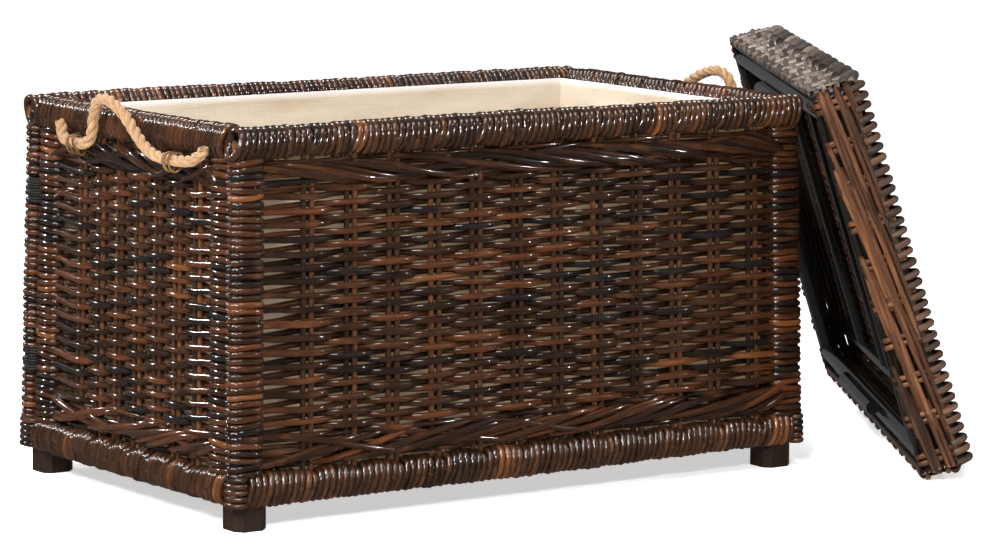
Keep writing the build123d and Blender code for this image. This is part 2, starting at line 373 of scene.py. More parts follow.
def cotton():
    m, nt, bsdf = new_material("liner_cotton")
    obj = object_coords(nt)
    weft = noise(nt, obj, (900, 900, 60), 2)
    warp = noise(nt, obj, (60, 60, 900), 2)
    slub = noise(nt, obj, (5, 5, 26), 4)
    crease = noise(nt, obj, (7, 7, 22), 2, 0.45)
    thread = mix(nt, weft, warp, 0.5)
    colour = ramp(nt, slub, [
        (0.34, (0.55, 0.445, 0.325)), (0.5, (0.65, 0.555, 0.435)), (0.68, (0.71, 0.625, 0.51))])
    colour = mix(nt, colour, ramp(nt, thread, [(0.3, grey(0.92)), (0.7, grey(1.04))]), 1.0, "MULTIPLY")
    # the turned hem along the top edge is a double layer and reads whiter
    colour = mix(nt, colour, (0.90, 0.89, 0.91), attr(nt, "hem").outputs["Fac"])
    nt.links.new(colour, bsdf.inputs["Base Color"])
    bsdf.inputs["Roughness"].default_value = 0.9
    bsdf.inputs["Specular IOR Level"].default_value = 0.2
    bump(nt, mix(nt, thread, crease, 0.75), 0.5, 0.012, bsdf)
    through = nt.nodes.new("ShaderNodeBsdfTranslucent")
    through.inputs["Color"].default_value = (0.85, 0.62, 0.34, 1)
    both = nt.nodes.new("ShaderNodeMixShader")
    both.inputs[0].default_value = 0.12
    nt.links.new(bsdf.outputs[0], both.inputs[1])
    nt.links.new(through.outputs[0], both.inputs[2])
    nt.links.new(both.outputs[0], nt.nodes["Material Output"].inputs["Surface"])
    return m


def jute():
    m, nt, bsdf = new_material("jute_rope")
    grain = attr(nt, "grain").outputs["Vector"]
    fibre = noise(nt, grain, (60, 1800, 1800), 3, 0.7)
    tone = noise(nt, grain, (30, 120, 120), 2)
    colour = ramp(nt, fibre, [
        (0.25, (0.13, 0.062, 0.024)), (0.5, (0.32, 0.178, 0.076)), (0.75, (0.5, 0.315, 0.152))])
    shade = ramp(nt, tone, [(0.3, (0.78, 0.74, 0.7)), (0.7, (1.15, 1.12, 1.05))])
    nt.links.new(mix(nt, colour, shade, 1.0, "MULTIPLY"), bsdf.inputs["Base Color"])
    bsdf.inputs["Roughness"].default_value = 0.85
    bsdf.inputs["Sheen Weight"].default_value = 0.25
    bump(nt, fibre, 0.7, 0.0012, bsdf)
    return m


def wood(name, dark, light, rough, grain_scale):
    m, nt, bsdf = new_material(name)
    grain = noise(nt, object_coords(nt), grain_scale, 5, 0.65, 4.0)
    nt.links.new(ramp(nt, grain, [(0.3, dark), (0.7, light)]), bsdf.inputs["Base Color"])
    bsdf.inputs["Roughness"].default_value = rough
    bsdf.inputs["Specular IOR Level"].default_value = 0.16
    bump(nt, grain, 0.25, 0.0008, bsdf)
    return m


def lacquer():
    m, nt, bsdf = new_material("black_lacquer")
    obj = object_coords(nt)
    blotch = noise(nt, obj, (8, 8, 8))
    colour = ramp(nt, blotch, [(0.3, (0.0022, 0.0021, 0.002)), (0.75, (0.006, 0.0052, 0.0047))])
    nt.links.new(colour, bsdf.inputs["Base Color"])
    rough_range(nt, blotch, 0.12, 0.24, bsdf)
    bsdf.inputs["Specular IOR Level"].default_value = 0.5
    bsdf.inputs["Coat Weight"].default_value = 0.8
    bsdf.inputs["Coat Roughness"].default_value = 0.12
    bump(nt, noise(nt, obj, (120, 120, 120), 2), 0.12, 0.0005, bsdf)
    return m


mat_cotton = cotton()
mat_jute = jute()
mat_foot = wood("foot_wood", (0.012, 0.0062, 0.0037), (0.026, 0.0135, 0.008), 0.5, (40, 40, 6))
mat_runner = wood("runner_wood", (0.075, 0.042, 0.022), (0.16, 0.095, 0.052), 0.6, (4, 40, 40))
mat_lacquer = lacquer()
mat_reed = rattan("split_reed", [
    (0.0, (0.06, 0.03, 0.014)), (0.5, (0.13, 0.07, 0.03)), (1.0, (0.25, 0.14, 0.06))],
    (0.4, 0.6), 0.1)
mat_cord = rattan("waxed_cord", [(0.0, grey(0.006)), (1.0, (0.014, 0.013, 0.012))], (0.4, 0.6), 0.2, 0.0)

# ---------------------------------------------------------------- rope handles

ROPE_R = 0.007
ROPE_X = HALF_L + 0.015
ROPE_Z = 0.434  # height of the lashings
LAY = 0.042  # length of one turn of a strand
STRAND_R = ROPE_R * 0.53
YARN_TURN = 0.019
FRAY = 0.016
# routes in millimetres: y and z of each loop, y, depth towards the wall and z of each free end
LEFT_LOOP = [(84, 434), (56, 434), (50, 486), (24, 497), (-20, 482), (-58, 451), (-92, 434), (-120, 434)]
LEFT_REAR = [(84.3, 0, 434), (112, 0, 434), (134, 3, 437), (144, 6, 456)]
LEFT_FRONT = [(-120.3, 0, 434), (-150, 0, 434), (-182, 3, 436), (-200, 6, 452)]
RIGHT_LOOP = [(-120, 434), (-96, 434), (-90, 484), (-62, 499), (-22, 490), (22, 466), (56, 434), (84, 434)]
RIGHT_REAR = [(84.3, 0, 434), (114, 0, 434), (146, 3, 436), (164, 6, 452)]
RIGHT_FRONT = [(-120.3, 0, 434), (-148, 0, 434), (-170, 3, 437), (-180, 6, 456)]


def route_line(points):
    """The smooth line of a rope: a NURBS curve on the route's points, read back as a polyline."""
    cu = bpy.data.curves.new("route", "CURVE")
    cu.dimensions = "3D"
    sp = cu.splines.new("NURBS")
    sp.points.add(len(points) - 1)
    for q, p in zip(sp.points, points):
        q.co = (*p, 1)
    sp.order_u = 3
    sp.use_endpoint_u = True
    sp.resolution_u = 24
    ob = bpy.data.objects.new("route", cu)
    bpy.context.scene.collection.objects.link(ob)
    bpy.context.view_layer.update()
    me = bpy.data.meshes.new_from_object(ob)
    pts = np.array([v.co[:] for v in me.vertices])
    bpy.data.objects.remove(ob)
    bpy.data.curves.remove(cu)
    bpy.data.meshes.remove(me)
    return pts


def rope(name, points, body, node, phase, frayed=False):
    """Three strands of five yarns laid round a line, with loose fibres."""
    line = route_line(points)
    run = np.concatenate([[0], np.cumsum(np.linalg.norm(np.diff(line, axis=0), axis=1))])
    length = run[-1]
    s = np.linspace(0, length, int(length / 0.0016))
    p = np.stack([np.interp(s, run, line[:, k]) for k in range(3)], 1)
    t = np.gradient(p, axis=0)
    t /= np.linalg.norm(t, axis=1)[:, None]
    nrm = parallel_frames(t)
    bi = np.cross(t, nrm)
    orbit = ROPE_R - STRAND_R
    loosen = smooth((s - (length - FRAY)) / FRAY) if frayed else np.zeros_like(s)
    rods = Rods()

    def around(ang, along, across):
        return np.cos(ang)[:, None] * along + np.sin(ang)[:, None] * across

    def strand_angle(k):
        return 2 * math.pi * (s / LAY + k / 3) + phase

    for k in range(3):
        q = p + (orbit * (1 + 0.25 * loosen))[:, None] * around(strand_angle(k), nrm, bi)
        rods.add(q, STRAND_R * (1.02 + 0.03 * np.sin(s * 900 + k)) * (1 - 0.25 * loosen), 0.5, sides=10)
    # yarns that stand out of each strand
    for k in range(3):
        ang = strand_angle(k)
        out = around(ang, nrm, bi)
        side = -np.sin(ang)[:, None] * nrm + np.cos(ang)[:, None] * bi
        for y in range(5):
            yarn = ang - 2 * math.pi * (s / YARN_TURN) + y * 2 * math.pi / 5
            rods.add(p + orbit * out + STRAND_R * 0.72 * around(yarn, out, side), STRAND_R * 0.36, 0.5, sides=5)
    # loose fibres
    for _ in range(int(length * 420)):
        i = rng.randrange(2, len(s) - 8)
        ang = rng.uniform(0, 2 * math.pi)
        d = math.cos(ang) * nrm[i] + math.sin(ang) * bi[i]
        a = p[i] + d * ROPE_R * 0.9
        b = a + d * rng.uniform(0.0006, 0.0026) + t[i] * rng.uniform(-0.004, 0.004)
        c = b + d * rng.uniform(-0.001, 0.0012) + t[i] * rng.uniform(-0.004, 0.004)
        rods.add(np.array([a, b, c]), 0.00016, 0.5, sides=3, caps=False)
    o = rods.build(name, mat_jute, "jute_rope", body, [node], placed=False)


def free_end(side, sign, end, route, phase):
    """A frayed end of the rope, beyond its lashing."""
    points = [(TX + sign * (ROPE_X - k / 1000), TY + y / 1000, z / 1000) for y, k, z in route]
    node = f"{side}_handle_{end}_end"
    rope(f"{side}_handle_rope_{end}", points, "trunk", node, phase, frayed=True)


for side, sign, loop, rear, fore in (("left", -1, LEFT_LOOP, LEFT_REAR, LEFT_FRONT),
                                     ("right", 1, RIGHT_LOOP, RIGHT_REAR, RIGHT_FRONT)):
    rope(f"{side}_handle_rope", [(TX + sign * ROPE_X, TY + y / 1000, z / 1000) for y, z in loop],
         f"{side}_handle", f"{side}_handle_loop", 0.0)
    free_end(side, sign, "rear", rear, 0.4)
    free_end(side, sign, "front", fore, 1.1)
    # split reed bound round the rope and through the weave behind it
    reed = Rods()
    reed_orbit = ROPE_R + 0.0016
    for y0, sgn in ((rear[0][0], 1), (fore[0][0], -1)):
        for k in (0.35, 0.62, 1.3, 1.6):
            a = turn_round(26)
            slant = rng.uniform(-0.007, 0.007)
            yy = (y0 + sgn * k * 13) / 1000 + slant * np.sin(a + rng.uniform(0, 0.6))
            xx = sign * ROPE_X - sign * 0.002 + (reed_orbit + 0.0012) * np.cos(a)
            # the reed drops to the weave below the rope on its way through the panel
            zz = ROPE_Z + reed_orbit * np.sin(a) - 0.006 * np.clip(-np.sin(a), 0, 1) ** 2
            reed.add(np.stack([xx, yy, zz], 1), 0.00105, rng.random(), ref=(0, 1, 0), sides=6, closed=True)
    reed.build(f"{side}_handle_binding", mat_reed, "split_reed", nodes=[f"{side}_handle_lashings"])

# ---------------------------------------------------------------- woven panels

ROW_PITCH = 0.0084
STAKE_R = 0.0037
WEAVER_R = 0.0041
AMP = STAKE_R + WEAVER_R - 0.0018
SQUARENESS = 1.5
SHORTEST_RUN_OUT = 0.03  # a rod is bent up or down to its post only where the last stake is this far from it


def spread(z):
    """How far the walls have moved outwards at a height: the basket is a little wider at the floor."""
    return FLARE * (TOP - z) / (TOP - BOTTOM)


class Panel:
    """A wall: e runs along it, d out of it, z up."""

    def __init__(self, centre, e_dir, d_dir, half):
        self.c, self.half = np.array([*centre, 0.0]), half
        self.e, self.d = np.array(e_dir, float), np.array(d_dir, float)

    def at(self, e, d, z):
        e, d, z = np.broadcast_arrays(*(np.asarray(x, float) for x in (e, d, z)))
        out = spread(z)
        e, d = e * (1 + out / self.half), d + out
        return self.c + e[:, None] * self.e + d[:, None] * self.d + z[:, None] * np.array([0, 0, 1.0])


walls = {
    "front": Panel((0, -MID_Y), (1, 0, 0), (0, -1, 0), HALF_L),
    "back": Panel((0, MID_Y), (-1, 0, 0), (0, 1, 0), HALF_L),
    "left": Panel((-MID_X, 0), (0, -1, 0), (-1, 0, 0), SHORT_HALF),
    "right": Panel((MID_X, 0), (0, 1, 0), (1, 0, 0), SHORT_HALF),
}
LONG_WALLS = ("front", "back")
LONG_STAKES = [-0.317 + 0.0606 * k for k in range(12)]
SHORT_STAKES = [-0.128 + 0.0455 * k for k in range(7)]
Z_LOW, Z_HIGH = BOTTOM + RIM_H + 0.004, TOP - RIM_H - 0.004
ROW_LOW, ROW_HIGH = Z_LOW + 0.034, Z_HIGH - 0.030
POST_LOW, POST_HIGH = Z_LOW - 0.004, Z_HIGH + 0.004
LOW_WALE, HIGH_WALE = (Z_LOW - 0.002, 0.038), (Z_HIGH - 0.034, 0.036)  # lowest z and height


def pick_tint():
    x = rng.random()
    if x < 0.17:
        return rng.uniform(0.0, 0.2)
    if x < 0.66:
        return rng.uniform(0.25, 0.55)
    if x < 0.955:
        return rng.uniform(0.55, 0.8)
    return rng.uniform(0.85, 1.0)


def squared_wave(w):
    """A wave with flatter tops, as a rod that bends sharply between stakes."""
    return np.tanh(SQUARENESS * w) / math.tanh(SQUARENESS)


def weavers(name, pan, stakes):
    """Rows of rods, each in front of one pair of stakes and behind the next."""
    rods = Rods()
    first, last = stakes[0], stakes[-1]
    pitch = (last - first) / (len(stakes) - 1)
    edge = pan.half - POST_W
    ends = pan.half - POST_W * 0.5
    e = np.linspace(-ends, ends, int((2 * ends) / pitch * 9))
    for i in range(int((ROW_HIGH - ROW_LOW) / ROW_PITCH) + 1):
        sign = 1 if i % 2 == 0 else -1
        w = squared_wave(np.cos(math.pi * (e - first) / pitch) * sign)
        # beyond the outer stakes the rod keeps its side and eases to the post's middle
        lo_fade = smooth((e + edge) / max(first + edge, 0.02))
        hi_fade = smooth((edge - e) / max(edge - last, 0.02))
        w = np.where(e < first, sign * (0.45 + 0.5 * lo_fade), w)
        last_sign = sign * math.cos(math.pi * (len(stakes) - 1))
        w = np.where(e > last, last_sign * (0.45 + 0.5 * hi_fade), w)
        pin = np.zeros_like(e)
        if first + edge > SHORTEST_RUN_OUT:
            pin += (1 - smooth((e + edge) / (first + edge)))
        if edge - last > SHORTEST_RUN_OUT:
            pin += (1 - smooth((edge - e) / (edge - last)))
        z = ROW_LOW + i * ROW_PITCH
        zz = z + pin * sign * 0.0027 + Noise(0.09, 0.0012)(e + i * 0.37) + Noise(0.03, 0.0006)(e)
        # a rod runs out behind a pair of stakes, and another of a different colour carries on
        tint = np.full(len(e), pick_tint())
        backs = [s for k, s in enumerate(stakes) if (k % 2 == 0) == (sign < 0)]
        rng.shuffle(backs)
        for s in sorted(backs[:3]):
            tint[e > s] = pick_tint()
        r = WEAVER_R * rng.uniform(0.86, 1.1) * (1 + 0.08 * np.clip(w, 0, 1)) * (1 + Noise(0.12, 0.09)(e + i))
        rods.add(pan.at(e, AMP * w, zz), r, tint, ref=pan.d, caps=False)
    rods.build(f"{name}_weavers", mat_weave, "rattan", nodes=[f"{name}_weave"])


def uprights(name, pan, stakes):
    """Pairs of upright stakes."""
    rods = Rods()
    z = np.linspace(BOTTOM + 0.012, TOP - 0.012, 24)
    for s in stakes:
        lean = rng.uniform(-0.0015, 0.0015)
        for k in (-1, 1):
            ee = s + k * 0.0056 + lean * (z - 0.25) * 4 + Noise(0.1, 0.0006)(z)
            rods.add(pan.at(ee, np.zeros_like(z), z), STAKE_R * rng.uniform(0.93, 1.05), rng.random(),
                     ref=pan.d, caps=False)
    rods.build(f"{name}_stakes", mat_stake, "rattan")


def wales(name, pan, stakes):
    """Long thick rods laid diagonally across the last rows, above the bottom rim and below the top rim."""
    rods = Rods()
    pitch = (stakes[-1] - stakes[0]) / (len(stakes) - 1)
    for (base, height), tilt in ((LOW_WALE, 1), (HIGH_WALE, -1)):
        start = -pan.half + 0.01
        k = 0
        while start < pan.half - 0.05:
            length = rng.uniform(2.6, 3.9) * pitch
            stop = min(start + length, pan.half - 0.012)
            x = np.linspace(0, 1, max(16, int((stop - start) / 0.006)))
            ee = start + (stop - start) * x
            slope = tilt if rng.random() < 0.78 else -tilt
            za = base + height * rng.uniform(0.08, 0.3)
            zb = base + height * rng.uniform(0.7, 0.95)
            if slope < 0:
                za, zb = zb, za
            hump = np.clip(np.sin(math.pi * x), 0, 1)
            dd = -0.002 + (0.0125 + 0.002 * (k % 3 - 1)) * hump ** 0.6
            zz = za + (zb - za) * smooth(x) + Noise(0.05, 0.0012)(ee)
            rr = 0.0045 * (0.7 + 0.3 * hump ** 0.5) * rng.uniform(0.9, 1.06)
            tone = rng.uniform(0.25, 0.82) if tilt > 0 else rng.uniform(0.05, 0.6)
            rods.add(pan.at(ee, dd, zz), rr, tone, ref=pan.d)
            start += pitch * rng.uniform(0.42, 0.62)
            k += 1
        # rods packed behind the diagonal ones
        for j in range(5):
            zz = base + 0.0035 + j * 0.0076
            ee = np.linspace(-pan.half + 0.02, pan.half - 0.02, 60)
            rods.add(pan.at(ee, 0.0035 * np.sin(ee * 40 + j * 1.9), zz + Noise(0.08, 0.0012)(ee)), 0.0036,
                     rng.uniform(0.05, 0.6), ref=pan.d, sides=6, caps=False)
    rods.build(f"{name}_wales", mat_weave, "rattan")


def wrapped_post(post, pan, centre_e):
    """Weavers turning round a bundle of stakes: a stack of flattened rings."""
    half_w, half_t = POST_W / 2, 0.0125
    rods = Rods()
    a, cx, cy = squared_circle(32, 2.5)
    for i in range(int((POST_HIGH - POST_LOW) / ROW_PITCH) + 1):
        z = POST_LOW + i * ROW_PITCH + rng.uniform(-0.0006, 0.0006)
        tilt = rng.uniform(-0.0016, 0.0016)
        grow = rng.uniform(-0.0007, 0.0007)
        e = centre_e + (half_w - 0.0032 + grow) * cx
        d = (half_t - 0.003 + grow) * cy
        zz = z + tilt * cx + 0.0006 * np.sin(a * 2 + i)
        rods.add(pan.at(e, d, zz), 0.0042 * rng.uniform(0.92, 1.07), pick_tint(), ref=(0, 0, 1), closed=True)
    # the bundle of stakes inside, tinted near black so the gaps between the rings show painted shade
    for k in (-1, 0, 1):
        z = np.array([POST_LOW - 0.02, POST_HIGH + 0.02])
        e = np.full(2, centre_e + k * half_w * 0.55)
        rods.add(pan.at(e, np.zeros(2), z), 0.0078, 0.1, ref=pan.d, caps=False)
    rods.build(f"{post}_post_wrap", mat_weave, "rattan", nodes=[f"{post}_post"])


# ---------------------------------------------------------------- wrapped rims

WRAP_R = 0.0042
POLES = ((-0.0045, 0.0065, 0.0082, 0.3), (0.0052, -0.0015, 0.0078, 0.97), (-0.003, -0.0095, 0.0062, 0.1))


def wrapped_rim(name, pan, half, zc, stakes, hang, open_ends):
    """A roll of poles bound side by side with rods, parted where each pair of stakes enters it.

    hang is 1 where the stakes come from below and -1 where they come from above."""
    rods = Rods()
    stake_pitch = stakes[1] - stakes[0]
    step = stake_pitch / round(stake_pitch / 0.0087)
    lead = 0.019 if open_ends else 0.002
    w0, w1 = -half + lead, half - lead
    n = int(round((w1 - w0) / step))
    step = (w1 - w0) / n
    _, cx, cy = squared_circle(26, 2.35)
    edges = [w0 - 0.02, *stakes, w1 + 0.02]
    half_h, half_d = RIM_H / 2 - WRAP_R + 0.0018, RIM_D / 2 - WRAP_R
    tone = rng.uniform(0.3, 0.6)
    drift = Noise(0.11, 0.0012)
    # the side that meets the stakes is gathered up beside them
    toward = np.clip(-hang * cy, 0, 1) ** 2
    for i in range(n):
        e = w0 + (i + 0.5) * step
        g = min(max(k for k in range(len(edges)) if edges[k] <= e), len(edges) - 2)
        u = (e - edges[g]) / (edges[g + 1] - edges[g])
        arch = math.sin(math.pi * min(max(u, 0), 1)) ** 0.5
        tone = min(max(0.65 * tone + 0.35 * rng.uniform(0.1, 0.9) + rng.uniform(-0.1, 0.1), 0.02), 0.92)
        if rng.random() < 0.06:
            tone = rng.uniform(0.85, 1.0)
        swell = float(drift(e)) + rng.uniform(-0.0007, 0.0007)
        gather = toward * (1 - arch) * 0.007
        lean = (0.0045 - 0.003 * u) + rng.uniform(-0.0013, 0.0013)
        ee = e + lean * cy + 0.0016 * cx * cy + toward * (0.5 - u) * -0.006
        dd = 0.0008 + (half_d + swell + 0.0008 * (cx > 0)) * cx
        zz = zc + (half_h + swell) * cy + hang * gather
        rods.add(pan.at(ee, dd, zz), WRAP_R * rng.uniform(0.86, 1.08), tone, ref=pan.e, closed=True)
    # the poles inside, seen at the open ends
    for dx, dz, rr, tone in POLES:
        ee = np.linspace(-half + 0.004, half - 0.004, 8)
        rods.add(pan.at(ee, np.full(8, dx), np.full(8, zc + dz)), rr, tone, ref=pan.d, sides=12)
    if open_ends:
        for end in (-half + 0.0115, half - 0.0115):
            for k in range(5):
                rods.add(pan.at(end + 0.0078 * cx, 0.0145 * cy, zc - 0.0155 + k * 0.0077 + 0.0004 * cx), 0.0036,
                         pick_tint(), ref=(0, 0, 1), closed=True)
    rods.build(f"{name}_rim_wrap", mat_rim, "rattan", nodes=[f"{name}_rim"])


for name, pan in walls.items():
    is_long = name in LONG_WALLS
    stakes = LONG_STAKES if is_long else SHORT_STAKES
    rim_half = HALF_L if is_long else HALF_W - RIM_D
    weavers(name, pan, stakes)
    uprights(name, pan, stakes)
    wales(name, pan, stakes)
    wrapped_rim(f"{name}_top", pan, rim_half, TOP - RIM_H / 2, stakes, 1, False)
    wrapped_rim(f"{name}_bottom", pan, rim_half, BOTTOM + RIM_H / 2, stakes, -1, is_long)

LONG_POST = HALF_L - POST_W / 2
SHORT_POST = SHORT_HALF - POST_W / 2
for post, wall, centre_e in (
        ("front_left", "front", -LONG_POST), ("front_right", "front", LONG_POST),
        ("back_left", "back", LONG_POST), ("back_right", "back", -LONG_POST),
        ("left_front", "left", SHORT_POST), ("left_rear", "left", -SHORT_POST),
        ("right_front", "right", -SHORT_POST), ("right_rear", "right", SHORT_POST)):
    wrapped_post(post, walls[wall], centre_e)

# ---------------------------------------------------------------- woven base


def base_mat():
    lo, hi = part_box("woven_base")
    rods = Rods()
    pitch, row, past = 0.030, 0.0068, 0.003
    zc = (lo[2] + hi[2]) / 2
    x0, x1, y0, y1 = lo[0] - TX - past, hi[0] - TX + past, lo[1] - TY - past, hi[1] - TY + past
    xs = np.arange(x0 + 0.012, x1 - 0.008, pitch)
    y = np.linspace(y0, y1, 80)
    for s in xs:
        for k in (-1, 1):
            pts = np.stack([np.full_like(y, s + k * 0.0042), y, np.full_like(y, zc)], 1)
            rods.add(pts, 0.0028, rng.random() * 0.6, ref=(0, 0, 1), sides=6, caps=False)
    x = np.linspace(x0, x1, int((x1 - x0) / pitch * 7))
    for i in range(int((y1 - y0) / row)):
        yy = y0 + row / 2 + i * row
        zz = zc + 0.0031 * np.cos(math.pi * (x - xs[0]) / pitch + math.pi * i)
        pts = np.stack([x, np.full_like(x, yy), zz], 1)
        rods.add(pts, 0.0029, pick_tint(), ref=(0, 0, 1), sides=6, caps=False)
    rods.build("woven_base_mat", mat_weave, "rattan", nodes=["woven_base"])


# ---------------------------------------------------------------- liner


def liner():
    """An open-topped box of cotton, hung inside the rims."""
    lo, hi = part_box("liner")
    x0, y0, z0 = (lo[k] + 0.0008 for k in range(3))
    x1, y1 = hi[0] - 0.0008, hi[1] - 0.0008
    z1 = hi[2] - 0.001
    nx, ny, nz = 96, 60, 44
    verts, faces = [], []

    def grid(fn, na, nb):
        base = len(verts)
        for j in range(nb + 1):
            for i in range(na + 1):
                verts.append(fn(i / na, j / nb))
        for j in range(nb):
            for i in range(na):
                q = base + j * (na + 1) + i
                faces.append((q, q + 1, q + na + 2, q + na + 1))

    wob = [Noise(0.16, 1.0) for _ in range(6)]

    def inward(a, b, k):
        """How far the cloth stands off the wall: 0 at its edges, soft folds between."""
        w = math.sin(math.pi * min(max(b, 0), 1)) ** 0.8
        s = float(wob[k](a * 1.3)) * 0.55 + float(wob[k](b * 0.5 + 3)) * 0.45
        return (0.0035 + 0.0035 * s) * w

    lx, ly, h = x1 - x0, y1 - y0, z1 - z0
    grid(lambda a, b: (x0 + lx * a, y0 + inward(a, b, 0), z0 + h * b), nx, nz)
    grid(lambda a, b: (x1 - lx * a, y1 - inward(a, b, 1), z0 + h * b), nx, nz)
    grid(lambda a, b: (x0 + inward(a, b, 2), y1 - ly * a, z0 + h * b), ny, nz)
    grid(lambda a, b: (x1 - inward(a, b, 3), y0 + ly * a, z0 + h * b), ny, nz)
    grid(lambda a, b: (x0 + lx * b, y0 + ly * a, z0), ny, nx)
    me = bpy.data.meshes.new("liner_cloth")
    me.from_pydata(verts, [], faces)
    bm = bmesh.new()
    bm.from_mesh(me)
    bmesh.ops.remove_doubles(bm, verts=bm.verts, dist=0.0004)
    bmesh.ops.recalc_face_normals(bm, faces=bm.faces)
    bm.to_mesh(me)
    bm.free()
    for p in me.polygons:
        p.use_smooth = True
    me.materials.append(mat_cotton)
    hem = me.attributes.new("hem", "FLOAT", "POINT")
    hem.data.foreach_set("value", [1.0 if v.co.z > z1 - 0.009 else 0.0 for v in me.vertices])
    o = bpy.data.objects.new("liner_cloth", me)
    bpy.context.scene.collection.objects.link(o)
    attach(o, "trunk")
    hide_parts("liner")


base_mat()
liner()

# ---------------------------------------------------------------- corner lashings

LASHING_R = 0.0105
for end, sign in (("left", -1), ("right", 1)):
    cord = Rods()
    for h in (0.148, 0.362):
        for k in range(9):
            z = h + (k - 4) * 0.0035
            a = turn_round(24)
            xx = sign * (HALF_L - 0.008 + spread(z)) + sign * LASHING_R * np.cos(a)
            yy = SHORT_HALF + spread(z) + LASHING_R * np.sin(a)
            cord.add(np.stack([xx, yy, np.full_like(a, z) + 0.0004 * np.sin(a)], 1), 0.00178, rng.random(),
                     ref=(0, 0, 1), closed=True)
    cord.build(f"rear_{end}_cord_lashings", mat_cord, "black_cord", nodes=[f"rear_{end}_corner_lashings"])

# ---------------------------------------------------------------- lid

LID_TURN, LID_LEAN = math.radians(31.3), math.radians(17.2)
LID_O = np.array([TX + 0.487, TY - 0.432, 0.0])
LU = np.array([math.sin(LID_TURN), math.cos(LID_TURN), 0])
LN = np.array([math.cos(LID_TURN) * math.cos(LID_LEAN), -math.sin(LID_TURN) * math.cos(LID_LEAN),
               math.sin(LID_LEAN)])
LS = np.cross(LN, LU)
LID_L, LID_W, LID_D, LID_SIDE = 0.862, 0.519, 0.066, 0.014
LID_PITCH = 0.0505
SHORT_SIDES = ("near", "far")


def lid_at(a, b, c):
    """A place on the lid: a along its length, b along its width, c from its rim edge to its top."""
    a, b, c = np.broadcast_arrays(*(np.asarray(x, float) for x in (a, b, c)))
    return LID_O + a[:, None] * LU + b[:, None] * LS + c[:, None] * LN


class LidSide:
    """e along the side, d out of it, c from the rim edge (0) to the top (LID_D)."""

    def __init__(self, kind):
        self.kind = kind
        self.length = LID_W if kind in SHORT_SIDES else LID_L
        self.d_dir = {"near": -LU, "far": LU, "lower": -LS, "upper": LS}[kind]
        self.e_dir = LS if kind in SHORT_SIDES else LU

    def at(self, e, d, c):
        m = LID_SIDE / 2
        d = np.asarray(d, float)
        if self.kind == "near":
            return lid_at(m - d, e, c)
        if self.kind == "far":
            return lid_at(LID_L - m + d, e, c)
        if self.kind == "lower":
            return lid_at(e, m - d, c)
        return lid_at(e, LID_W - m + d, c)


def lid_tint():
    return min(0.92, max(0, rng.gauss(0.42, 0.33)))


def build_lid_piece(rods, name, material, *nodes):
    rods.build(name, material, "rattan", "lid", nodes, placed=False)


def braided_rods(rods, s):
    """Pairs of long rods that turn round each other all along a long side."""
    for row, c_row in enumerate((0.0078, 0.0222, 0.0366)):
        e = np.linspace(0.004, s.length - 0.004, 300)
        for k in range(2):
            turn = 2 * math.pi * e / 0.14 + row * 1.3 + k * math.pi
            d = 0.0006 + 0.0036 * np.cos(turn) + Noise(0.1, 0.0006)(e)
            c = c_row + 0.0032 * np.sin(turn)
            tint = np.full(len(e), rng.random())
            for _ in range(3):
                tint[e > rng.uniform(0.1, 0.9) * s.length] = rng.random()
            rods.add(s.at(e, d, c), 0.0039 * (1 + Noise(0.05, 0.05)(e)), tint, ref=s.d_dir, sides=10)


def drifting_rods(rods, s, pitch):
    """Rods on a short side, each over three pairs of stakes, overlapping and drifting to the rim edge."""
    lanes = 8
    lane = (LID_D - 0.016) / lanes
    for i in range(-3, lanes):
        start = -pitch * rng.uniform(0.2, 1.2) - (i * 0.37 % 1) * pitch * 2
        while start < s.length - 0.02:
            length = pitch * rng.uniform(3.3, 4.3)
            x = np.linspace(0, 1, 40)
            e = start + length * x
            lift = np.clip(np.sin(math.pi * x), 0, 1) ** 0.55
            d = -0.0035 + (0.0105 + 0.0014 * (i % 3 - 1)) * lift
            c0 = 0.0035 + (i + 0.1) * lane
            c1 = c0 + lane * 3.2
            c = c0 + (c1 - c0) * (1 - x) + Noise(0.06, 0.0009)(e)
            keep = (e > 0.0035) & (e < s.length - 0.0035) & (c > 0.0034) & (c < LID_D - 0.0125)
            if keep.sum() > 4:
                radius = 0.0034 * rng.uniform(0.84, 1.1)
                rods.add(s.at(e[keep], d[keep], c[keep]), radius, lid_tint(), ref=s.d_dir)
            start += length * rng.uniform(0.64, 0.78)


def lid_side(kind):
    s = LidSide(kind)
    rods = Rods()
    n_pairs = int(round(s.length / LID_PITCH))
    pitch = s.length / n_pairs
    # pairs of stakes across the side
    for pair in range(n_pairs):
        for k in (-1, 1):
            c = np.linspace(0.001, LID_D - 0.006, 10)
            e = np.full(10, pitch * (pair + 0.5) + k * 0.0046)
            rods.add(s.at(e, np.full(10, 0.0018), c), 0.0037, rng.uniform(0.6, 1.0), ref=s.d_dir)
    # rods packed behind the ones that show, tinted dark so the gaps between them show painted shade
    core = Rods()
    for c_core in np.arange(0.0045, LID_D - 0.014, 0.0068):
        e = np.linspace(0.002, s.length - 0.002, 40)
        core.add(s.at(e, -0.0042 + Noise(0.1, 0.0004)(e), c_core + Noise(0.08, 0.0006)(e)), 0.0036,
                 rng.uniform(0.0, 0.3), ref=s.d_dir, sides=6)
    build_lid_piece(core, f"lid_{kind}_side_core", mat_weave)
    if kind in SHORT_SIDES:
        drifting_rods(rods, s, pitch)
    else:
        braided_rods(rods, s)
    # the upper side takes the paler copy of the lid colours: painted sheen
    mat = mat_lid_upper_painted_sheen if kind == "upper" else mat_lid
    build_lid_piece(rods, f"lid_{kind}_side_weave", mat, f"lid_{kind}_side")


